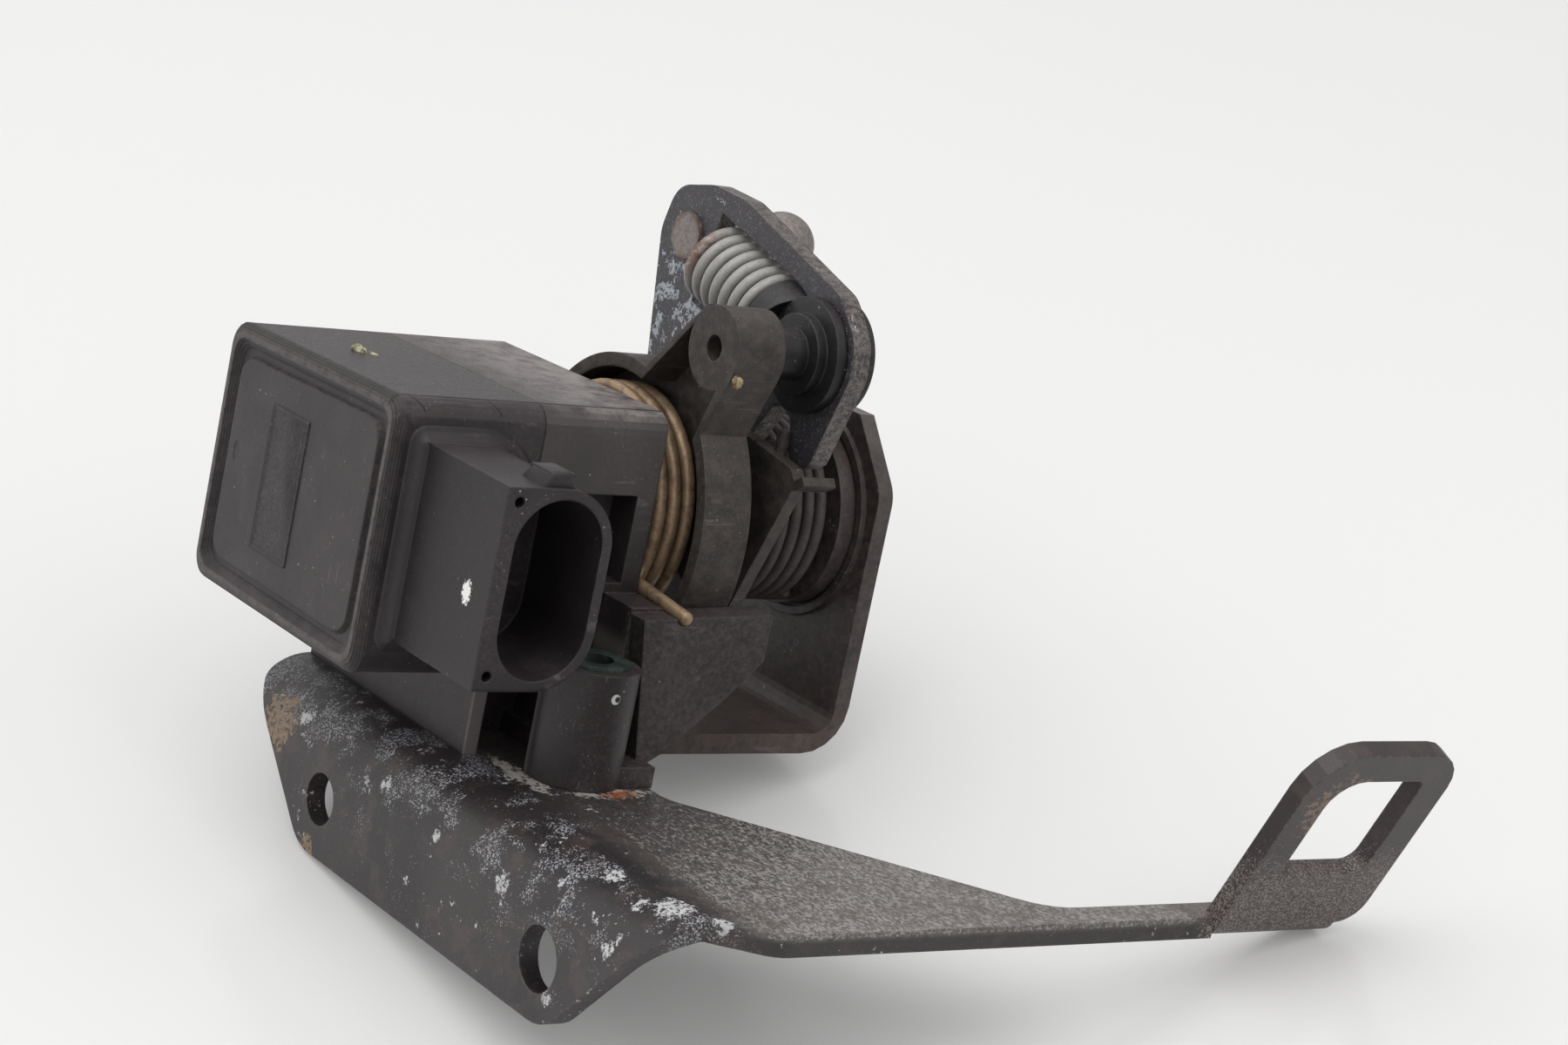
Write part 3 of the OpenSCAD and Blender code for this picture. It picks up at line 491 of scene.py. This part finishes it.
def rivet_steel():
    """Grey brown riveted head with rust round its rim."""
    g = Graph("rivet_steel")
    fine = g.noise(1.6, 6, 0.7, shift=2)
    shade = g.mix(g.span(fine, 0.35, 0.65), (0.16, 0.135, 0.125), (0.27, 0.245, 0.23))
    hub = g.near((AXIS_X - 15.8, 53.0, AXIS_Z + 36.3), 3.1, 0.2, 0.7, 0.8, (1, 0, 1))
    rust = g.span(g.noise(0.7, 6, 0.7, shift=8), 0.4, 0.52)
    rust = g.times(g.minus(1.0, hub), rust, g.span(g.axis(1), 54.5, 53.8))
    shade = g.paint(shade, rust, 0.75, (0.105, 0.045, 0.03))
    return g.finish(shade, g.span(fine, 0.3, 0.7, 0.48, 0.66), fine, 0.06, 0.25, 0.35)


def metal(name, colour, stain, share, rough, scale=0.8, metallic=0.85, rust=None):
    """Metal with a share of it stained. rust says where near puts some."""
    g = Graph(name)
    fine = g.noise(scale * 2.4, 6, 0.7, shift=2)
    blot = g.noise(scale * 0.5, 6, 0.68, 0.6, shift=6)
    blot = g.span(blot, 0.62 - share * 0.3, 0.78 - share * 0.3)
    shade = g.paint(colour, g.span(fine, 0.3, 0.75), 0.35, stain)
    shade = g.paint(shade, blot, share, stain)
    dull = g.span(fine, 0.3, 0.7, rough - 0.08, rough + 0.1)
    if rust:
        spots = g.times(g.near(*rust), g.span(g.noise(0.9, 6, 0.7, shift=12), 0.4, 0.52))
        shade = g.paint(shade, spots, 0.9, (0.17, 0.062, 0.033))
        dull = g.most(dull, g.times(spots, 0.8))
    return g.finish(shade, dull, fine, 0.03, 0.12, metallic)


def dress(material, *names):
    for name in names:
        obj = nodes[name]
        obj.data.materials.clear()
        obj.data.materials.append(material)


def ring_of(middle, t, ref, radius, sides):
    """Points of a circle square to t, the first of them towards ref."""
    side = t.cross(ref)
    angles = [2 * math.pi * j / sides for j in range(sides)]
    return [middle + (ref * math.cos(a) + side * math.sin(a)) * radius for a in angles]


def tube(name, path, radius, material, replaced):
    """Smooth round wire along points in millimetres, closed by domed ends.
    """
    sides = 14
    path = [Vector(p) for p in path]
    last = len(path) - 1
    ref = (path[1] - path[0]).normalized().orthogonal().normalized()
    rings = []
    for i, p in enumerate(path):
        t = (path[min(i + 1, last)] - path[max(i - 1, 0)]).normalized()
        ref = (ref - t * ref.dot(t)).normalized()
        sizes = [(0.0, 1.0)]
        if i == 0:
            sizes = [(-along, size) for along, size in reversed(DOME)]
        elif i == last:
            sizes = DOME
        for along, size in sizes:
            rings.append(ring_of(p + t * (along * radius), t, ref, radius * size, sides))
    verts = [tuple(v * MM) for ring in rings for v in ring]
    faces = []
    for i in range(len(rings) - 1):
        for j in range(sides):
            a, b = i * sides + j, i * sides + (j + 1) % sides
            faces.append((a, b, b + sides, a + sides))
    faces.append(tuple(range(sides))[::-1])
    faces.append(tuple((len(rings) - 1) * sides + j for j in range(sides)))
    mesh = bpy.data.meshes.new(name)
    mesh.from_pydata(verts, [], faces)
    mesh.polygons.foreach_set("use_smooth", [True] * len(faces))
    mesh.update()
    mesh.materials.append(material)
    obj = link(bpy.data.objects.new(name, mesh))
    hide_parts(replaced)
    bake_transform(obj)


def coil(radius, start, turns, y, pitch):
    """Points of a coil round the lever's axis, from an angle in degrees."""
    steps = 44
    out = []
    for i in range(int(turns * steps) + 1):
        a = math.radians(start + 360 * i / steps)
        out.append((AXIS_X + radius * math.cos(a), y + pitch * i / steps,
                    AXIS_Z + radius * math.sin(a)))
    return out


def eased(points, radius):
    """The same polyline with its inner corners rounded."""
    count = 8
    points = [Vector(p) for p in points]
    out = [points[0]]
    for a, q, b in zip(points, points[1:], points[2:]):
        s = q + (a - q).normalized() * min(radius, (a - q).length * 0.45)
        e = q + (b - q).normalized() * min(radius, (b - q).length * 0.45)
        for t in (i / count for i in range(count + 1)):
            out.append(s * (1 - t) ** 2 + q * 2 * t * (1 - t) + e * t * t)
    return out + [points[-1]]


def make_return_springs():
    """Two torsion springs round the lever's axis."""
    bronze = metal("spring_bronze", (0.38, 0.265, 0.165), (0.085, 0.055, 0.037), 0.5, 0.5, 0.9,
                   0.5)
    leg_y = 33.3
    turns = [Vector(p) for p in coil(16.2, -24, 2.5, leg_y + 0.9, 2.4)]
    leg = eased([(1.7, leg_y, 37.3), (-10.4, leg_y, 38.3),
                 (AXIS_X + 15.2, leg_y + 0.2, AXIS_Z - 7.9), turns[0]], 1.4)
    tube("front_spring_wire", leg[:-1] + turns, 1.0, bronze, "front_spring")

    dark = metal("spring_dark", (0.075, 0.064, 0.06), (0.032, 0.027, 0.025), 0.5, 0.62, 0.7, 0.2)
    tube("rear_spring_wire", coil(13, -60, 4, 58.2, 2.15), 0.9, dark, "rear_spring")


def make_link_spring():
    """Compression spring from the link pin to the pickup lever."""
    rust = ((-37.0, 50.5, 82.2), 4.3, 0.4, 0.8, 0.6)
    zinc = metal("spring_zinc", (0.36, 0.35, 0.335), (0.21, 0.2, 0.19), 0.4, 0.52, 0.8, 0.3, rust)
    near_end, length, coil_r = 12.1, 17.2, 5.4
    steps, turns = 36, 7
    along = Vector((math.cos(LINK_LEAN), 0, math.sin(LINK_LEAN)))
    across = Vector((-math.sin(LINK_LEAN), 0, math.cos(LINK_LEAN)))
    base = Vector((AXIS_X + LINK_R * math.cos(LINK_ANGLE), LINK_Y,
                   AXIS_Z + LINK_R * math.sin(LINK_ANGLE)))
    path = []
    for i in range(turns * steps + 1):
        a = 2 * math.pi * i / steps
        middle = base + along * (near_end + length * i / (turns * steps))
        path.append(middle + Vector((0, 1, 0)) * (coil_r * math.cos(a))
                    - across * (coil_r * math.sin(a)))
    tube("link_spring_wire", path, 0.9, zinc, "link_spring")


def solid(name, verts, faces, body, material, replaced=None, bevel=0.0, smooth=True):
    """A mesh piece given in millimetres."""
    mesh = bpy.data.meshes.new(name)
    mesh.from_pydata([tuple(c * MM for c in v) for v in verts], [], faces)
    bm = bmesh.new()
    bm.from_mesh(mesh)
    bmesh.ops.recalc_face_normals(bm, faces=bm.faces)
    bm.to_mesh(mesh)
    bm.free()
    mesh.polygons.foreach_set("use_smooth", [smooth] * len(mesh.polygons))
    mesh.update()
    mesh.materials.append(material)
    obj = link(bpy.data.objects.new(name, mesh))
    if bevel:
        mod = obj.modifiers.new("edges", "BEVEL")
        mod.width = bevel * MM
        mod.segments = 3
        mod.limit_method = "ANGLE"
    if replaced:
        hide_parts(replaced)
    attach(obj, body)


def box_mesh(low, high, taper=(0, 0)):
    """Corners and faces of a box whose top is drawn in at its low X and at both Y sides."""
    verts = []
    for z, t in ((low[2], 0), (high[2], 1)):
        dx, dy = taper[0] * t, taper[1] * t
        verts += [(low[0] + dx, low[1] + dy, z), (high[0], low[1] + dy, z),
                  (high[0], high[1] - dy, z), (low[0] + dx, high[1] - dy, z)]
    return verts, [(0, 3, 2, 1), (4, 5, 6, 7), (0, 1, 5, 4), (1, 2, 6, 5), (2, 3, 7, 6),
                   (3, 0, 4, 7)]


def make_badge(material):
    """The lid's blank embossed field: a raised rim round a grained floor."""
    rng = random.Random(5)
    face_y, sunk_y = -11.0, -10.9
    x0, x1, z0, z1 = -41.9, -31.4, 32.85, 53.85
    nx, nz = 54, 108
    rim_at, rim_half, rim_high, rim_end = 0.24, 0.26, 0.26, 0.5
    verts, faces = [], []
    for j in range(nz + 1):
        for i in range(nx + 1):
            x, z = x0 + (x1 - x0) * i / nx, z0 + (z1 - z0) * j / nz
            d = min(x - x0, x1 - x, z - z0, z1 - z)
            if d < rim_end:
                lift = rim_high * max(0.0, 1 - abs(d - rim_at) / rim_half)
            else:
                lift = 0.02 + 0.07 * rng.random()
            verts.append((x, face_y - lift if d > 0 else sunk_y, z))
    for j in range(nz):
        for i in range(nx):
            k = j * (nx + 1) + i
            faces.append((k, k + 1, k + nx + 2, k + nx + 1))
    row = nx + 1
    outline = [i for i in range(row)] + [row * j + nx for j in range(1, nz + 1)]
    outline += [row * nz + i for i in range(nx - 1, -1, -1)]
    outline += [row * j for j in range(nz - 1, 0, -1)]
    faces.append(tuple(outline))
    solid("badge_field", verts, faces, "sensor_body", material)


def socket_outline(grow):
    """Side view of the plug socket's outer wall, grown on all sides."""
    half_flat, half_high = 5.5, 13.7
    left, low, high = -6.9 - grow, SOCKET_Z - half_high - grow, SOCKET_Z + half_high + grow
    big, small = 8.2 + grow, 0.5 + grow
    pts = []
    for cy, cz, cr, a0, a1 in ((SOCKET_Y, SOCKET_Z + half_flat, big, 90, 0),
                               (SOCKET_Y, SOCKET_Z - half_flat, big, 0, -90),
                               (left + small, low + small, small, 270, 180),
                               (left + small, high - small, small, 180, 90)):
        for k in range(9):
            a = math.radians(a0 + (a1 - a0) * k / 8)
            pts.append((cy + cr * math.cos(a), cz + cr * math.sin(a)))
    return pts


def make_socket_root(material):
    """Rounded foot of the plug socket where it leaves the cover."""
    r, x, sunk = 2.0, -9.1, 0.3
    rings = [(x + r * (1 - math.sin(t)), r * (1 - math.cos(t)))
             for t in (math.pi / 2 * k / 8 for k in range(9))]
    rings += [(x - sunk, r), (x - sunk, -sunk), (x + r, -sunk)]
    verts, faces = [], []
    for px, grow in rings:
        verts += [(px, y, z) for y, z in socket_outline(grow)]
    n = len(verts) // len(rings)
    for i in range(len(rings)):
        for j in range(n):
            a, b = i * n, (i + 1) % len(rings) * n
            faces.append((a + j, a + (j + 1) % n, b + (j + 1) % n, b + j))
    solid("socket_root", verts, faces, "sensor_body", material)


def lump(name, centre, size, seed, body, material):
    """Small uneven lump of dirt or glue."""
    bm = bmesh.new()
    bmesh.ops.create_icosphere(bm, subdivisions=3, radius=1.0)
    shift = Vector((seed * 3.1, seed * 1.7, seed * 0.9))
    verts = []
    for v in bm.verts:
        k = 1 + 0.35 * noise.noise(v.co * 1.6 + shift) + 0.15 * noise.noise(v.co * 4 + shift)
        verts.append(tuple(centre[i] + v.co[i] * k * size[i] for i in range(3)))
    faces = [tuple(v.index for v in f.verts) for f in bm.faces]
    bm.free()
    solid(name, verts, faces, body, material)


def make_dirt():
    """Two crumbs of mud on the housing and a drop of dried glue on the lever."""
    mud = Graph("mud")
    tint = mud.span(mud.noise(1.4, 5, 0.7), 0.4, 0.6)
    tint = mud.mix(tint, (0.12, 0.105, 0.06), (0.42, 0.41, 0.27))
    mud.finish(tint, 0.7, mud.noise(2.0, 5), 0.1, 0.0)
    lump("mud_crumb", (-39.0, -1.0, 62.55), (1.5, 1.0, 0.75), 2, "sensor_body", mud.material)
    lump("mud_crumb_low", (-37.4, 0.4, 62.5), (1.2, 0.5, 0.3), 4, "sensor_body", mud.material)
    glue = Graph("dried_glue")
    tint = glue.span(glue.noise(1.2, 4), 0.4, 0.6)
    tint = glue.mix(tint, (0.11, 0.07, 0.03), (0.3, 0.22, 0.12))
    glue.finish(tint, 0.25, glue.noise(1.6, 4), 0.08, 0.0)
    lump("glue_drop", (-2.0, 36.5, 70.1), (0.8, 0.7, 0.9), 3, "lever", glue.material)


def make_blades():
    """The plug's six blades, in three rows of two."""
    # The blades' brass is darkened: painted shade for blades deep in the socket
    brass = metal("blade_brass_painted_shade", (0.20, 0.12, 0.055), (0.09, 0.05, 0.024), 0.6, 0.5, 1.4, 0.6)
    off_y, pitch_z, half_y, half_z = 2.5, 7, 0.4, 0.8
    for i in range(6):
        y = SOCKET_Y + (off_y if i % 2 else -off_y)
        z = SOCKET_Z + (i // 2 - 1) * pitch_z
        verts, faces = box_mesh((-18, y - half_y, z - half_z), (-1.6, y + half_y, z + half_z))
        solid(f"blade_{i + 1}", verts, faces, "sensor_body", brass,
              f"terminal_{i + 1}", 0.2, False)


def make_small_pieces(cover):
    make_badge(plastic("badge_grain", (0.017, 0.0145, 0.0155), amount=0.14, up_amount=0.1,
                       seed=21.0, depth=0.12))
    make_socket_root(cover)
    verts, faces = box_mesh((6.2, -1.5, 57.2), (12.45, 4.2, 60.0), (1.4, 1.25))
    solid("socket_key", verts, faces, "sensor_body", cover, bevel=0.5)
    make_dirt()
    make_blades()


def make_materials():
    cover = plastic("cover_plastic", (0.0225, 0.0185, 0.0198), seed=4.0, extra=cover_marks,
                    edge=0.6)
    dress(plastic("frame_plastic", seed=1.0, extra=frame_marks), "base_frame")
    dress(cover, "sensor_cover")
    dress(plastic("lever_plastic", (0.023, 0.0195, 0.0185), (0.15, 0.126, 0.116), 0.26, 0.12,
                  0.46, seed=7.0, extra=lever_marks), "throttle_lever")
    dress(plastic("bush_plastic", (0.012, 0.0112, 0.0118), (0.1, 0.092, 0.094), 0.2, 0.12, 0.38,
                  seed=10.0), "slide_bush", "spring_cup")
    dress(plastic("rubber", (0.012, 0.012, 0.012), amount=0.1, up_amount=0.05, rough=0.6,
                  seed=12.0), "cover_seal", "shaft_seal")
    dress(plastic("board", (0.09, 0.075, 0.05), amount=0.1, up_amount=0.05, rough=0.5,
                  seed=13.0), "track_plate")
    dress(plastic("rotor_plastic", (0.4, 0.38, 0.33), amount=0.1, up_amount=0.05, rough=0.5,
                  seed=14.0), "rotor")
    dress(painted_steel(), "bracket")
    dress(pickup_steel(), "pickup_lever")
    dress(rivet_steel(), "ball_stud")
    dress(metal("contact_brass", (0.42, 0.27, 0.13), (0.16, 0.085, 0.04), 0.6, 0.4, 1.4),
          "wiper_contacts", *(f"terminal_{i}" for i in range(1, 7)))
    dress(metal("bearing_bronze", (0.36, 0.26, 0.14), (0.17, 0.12, 0.07), 0.4, 0.4),
          "front_bearing", "rear_bearing")
    dress(metal("sleeve_patina", (0.07, 0.105, 0.09), (0.022, 0.03, 0.027), 0.75, 0.5, 0.9, 0.5),
          "front_sleeve", "rear_sleeve")
    dress(metal("shaft_steel", (0.42, 0.41, 0.4), (0.2, 0.18, 0.165), 0.4, 0.36), "shaft")
    dress(metal("washer_zinc", (0.47, 0.46, 0.43), (0.26, 0.24, 0.21), 0.4, 0.42),
          "thrust_washer")
    dress(metal("clip_phosphate", (0.05, 0.05, 0.05), (0.1, 0.08, 0.06), 0.4, 0.5, metallic=0.6),
          "retaining_clip")
    dress(metal("pin_steel", (0.15, 0.12, 0.1), (0.07, 0.05, 0.04), 0.5, 0.5, metallic=0.5),
          "link_pin")
    make_small_pieces(cover)


def make_table():
    """A white round table that can't be seen from below."""
    g = Graph("table")
    white = g.mix(g.noise(0.004, 2, 0.5), (0.72, 0.72, 0.719), (0.735, 0.735, 0.735))
    g.put(g.bsdf.inputs["Base Color"], white)
    g.bsdf.inputs["Roughness"].default_value = 0.16
    g.bsdf.inputs["Specular IOR Level"].default_value = 0.35
    glow = g.node("ShaderNodeEmission")
    glow.inputs["Color"].default_value = (0.90, 0.892, 0.885, 1)
    glow.inputs["Strength"].default_value = 1.0
    seen = g.times(g.node("ShaderNodeLightPath").outputs["Is Camera Ray"], 0.14)
    above = g.node("ShaderNodeMixShader")
    g.put(above.inputs[0], seen)
    g.put(above.inputs[1], g.bsdf.outputs[0])
    g.put(above.inputs[2], glow.outputs[0])
    below = g.node("ShaderNodeBsdfTransparent")
    pick = g.node("ShaderNodeMixShader")
    g.put(pick.inputs[0], g.node("ShaderNodeNewGeometry").outputs["Backfacing"])
    g.put(pick.inputs[1], above.outputs[0])
    g.put(pick.inputs[2], below.outputs[0])
    g.put(g.out.inputs["Surface"], pick.outputs[0])

    mesh = bpy.data.meshes.new("table")
    size, parts, gap = 2.4, 48, 0.05
    angles = [2 * math.pi * i / parts for i in range(parts)]
    ring = [(size * math.cos(a), size * math.sin(a), 0) for a in angles]
    mesh.from_pydata(ring, [], [tuple(range(parts))])
    mesh.materials.append(g.material)
    table = link(bpy.data.objects.new("table", mesh))
    turn = UP.to_track_quat("Z", "Y").to_matrix().to_4x4()
    table.matrix_world = Matrix.Translation((REST - UP * gap) * MM) @ turn


def make_world():
    """Studio light, brighter from above and from the photo's left, before a plain backdrop."""
    world = bpy.data.worlds.new("studio")
    scene.world = world
    world.use_nodes = True
    tree = world.node_tree
    tree.nodes.clear()
    put = tree.links.new
    where = tree.nodes.new("ShaderNodeTexCoord")
    dot = tree.nodes.new("ShaderNodeVectorMath")
    dot.operation = "DOT_PRODUCT"
    dot.inputs[1].default_value = (UP - 0.7 * RIGHT).normalized()
    ramp = tree.nodes.new("ShaderNodeMapRange")
    ramp.interpolation_type = "SMOOTHSTEP"
    for name, value in (("From Min", -0.3), ("From Max", 0.6), ("To Min", 0.27), ("To Max", 0.96)):
        ramp.inputs[name].default_value = value
    lit = tree.nodes.new("ShaderNodeBackground")
    lit.inputs["Color"].default_value = (1, 0.997, 0.994, 1)
    seen = tree.nodes.new("ShaderNodeBackground")
    seen.inputs["Color"].default_value = (0.9, 0.9, 0.9, 1)
    rays = tree.nodes.new("ShaderNodeLightPath")
    mix = tree.nodes.new("ShaderNodeMixShader")
    out = tree.nodes.new("ShaderNodeOutputWorld")
    put(where.outputs["Generated"], dot.inputs[0])
    put(dot.outputs["Value"], ramp.inputs["Value"])
    put(ramp.outputs[0], lit.inputs["Strength"])
    put(rays.outputs["Is Camera Ray"], mix.inputs[0])
    put(lit.outputs[0], mix.inputs[1])
    put(seen.outputs[0], mix.inputs[2])
    put(mix.outputs[0], out.inputs[0])


def make_lights():
    """Two square lamps above the part, turned to its middle."""
    centre = Vector((0.0, 0.04, 0.035))
    for name, off, size, power in (
            ("key", UP * 0.98 - RIGHT * 0.28 - AWAY * 0.02, 1.1, 4.8),
            ("fill", UP * 0.65 + RIGHT * 0.7 - AWAY * 0.3, 0.8, 2.2)):
        data = bpy.data.lights.new(name, "AREA")
        data.shape = "SQUARE"
        data.size = size
        data.energy = power
        data.color = (1, 0.994, 0.986)
        lamp = link(bpy.data.objects.new(name, data))
        lamp.location = centre + off
        lamp.rotation_mode = "QUATERNION"
        lamp.rotation_quaternion = off.to_track_quat("Z", "Y")


make_camera()
make_materials()
make_return_springs()
make_link_spring()
make_table()
make_world()
make_lights()
scene.view_settings.view_transform = "Standard"
